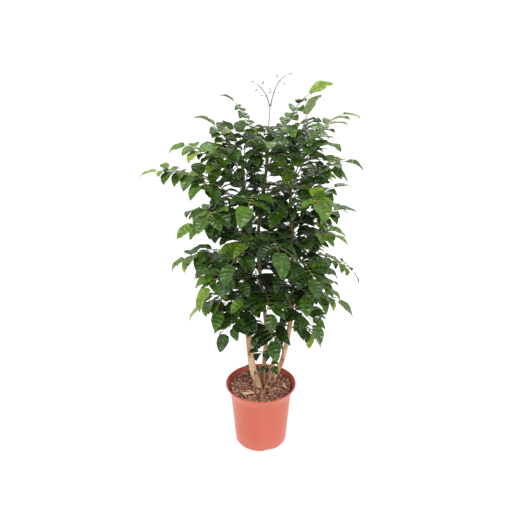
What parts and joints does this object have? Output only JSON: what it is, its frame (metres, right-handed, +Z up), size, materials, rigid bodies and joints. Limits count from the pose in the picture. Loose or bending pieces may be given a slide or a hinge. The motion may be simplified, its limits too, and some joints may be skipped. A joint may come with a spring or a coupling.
{
  "type": "potted china doll plant",
  "caption": "Potted china doll plant: woody stems in bark-topped soil carry arching compound leaves of glossy pointed leaflets, with a bare forked twig on top, in a round flared nursery pot.",
  "frame": {"origin": "middle of the pot's flat bottom, on the floor it stands on", "axes": "+Z up along the pot's axis; +X to the right of someone in front of the plant; +Y away from them"},
  "size_m": [0.6003, 0.5049, 1.1052],
  "materials": {
    "pot": "satin terracotta-coloured moulded plastic",
    "soil": "coarse red-brown bark mix, matt",
    "stem": "thin tan bark with scars and pale dots",
    "twig": "dry grey-green twig",
    "wood_chip": "pale split wood",
    "leaf": "glossy dark green leaf, paler underneath"
  },
  "bodies": {
    "root": {"back_stem": "stem", "centre_stem": "stem", "frond_01": "leaf", "frond_02": "leaf", "frond_03": "leaf", "frond_04": "leaf", "frond_05": "leaf", "frond_06": "leaf", "frond_07": "leaf", "frond_08": "leaf", "frond_09": "leaf", "frond_10": "leaf", "frond_11": "leaf", "frond_12": "leaf", "frond_13": "leaf", "frond_14": "leaf", "frond_15": "leaf", "frond_16": "leaf", "frond_17": "leaf", "frond_18": "leaf", "frond_19": "leaf", "frond_20": "leaf", "frond_21": "leaf", "frond_22": "leaf", "frond_23": "leaf", "frond_24": "leaf", "frond_25": "leaf", "frond_26": "leaf", "frond_27": "leaf", "frond_28": "leaf", "frond_29": "leaf", "frond_30": "leaf", "frond_31": "leaf", "frond_32": "leaf", "frond_33": "leaf", "frond_34": "leaf", "frond_35": "leaf", "frond_36": "leaf", "frond_37": "leaf", "frond_38": "leaf", "frond_39": "leaf", "frond_40": "leaf", "frond_41": "leaf", "frond_42": "leaf", "frond_43": "leaf", "frond_44": "leaf", "frond_45": "leaf", "frond_46": "leaf", "frond_47": "leaf", "left_stem": "stem", "pot": "pot", "right_stem": "stem", "soil": "soil", "top_twig": "twig", "wood_chip_left": "wood_chip", "wood_chip_right": "wood_chip"}
  },
  "joints": []
}
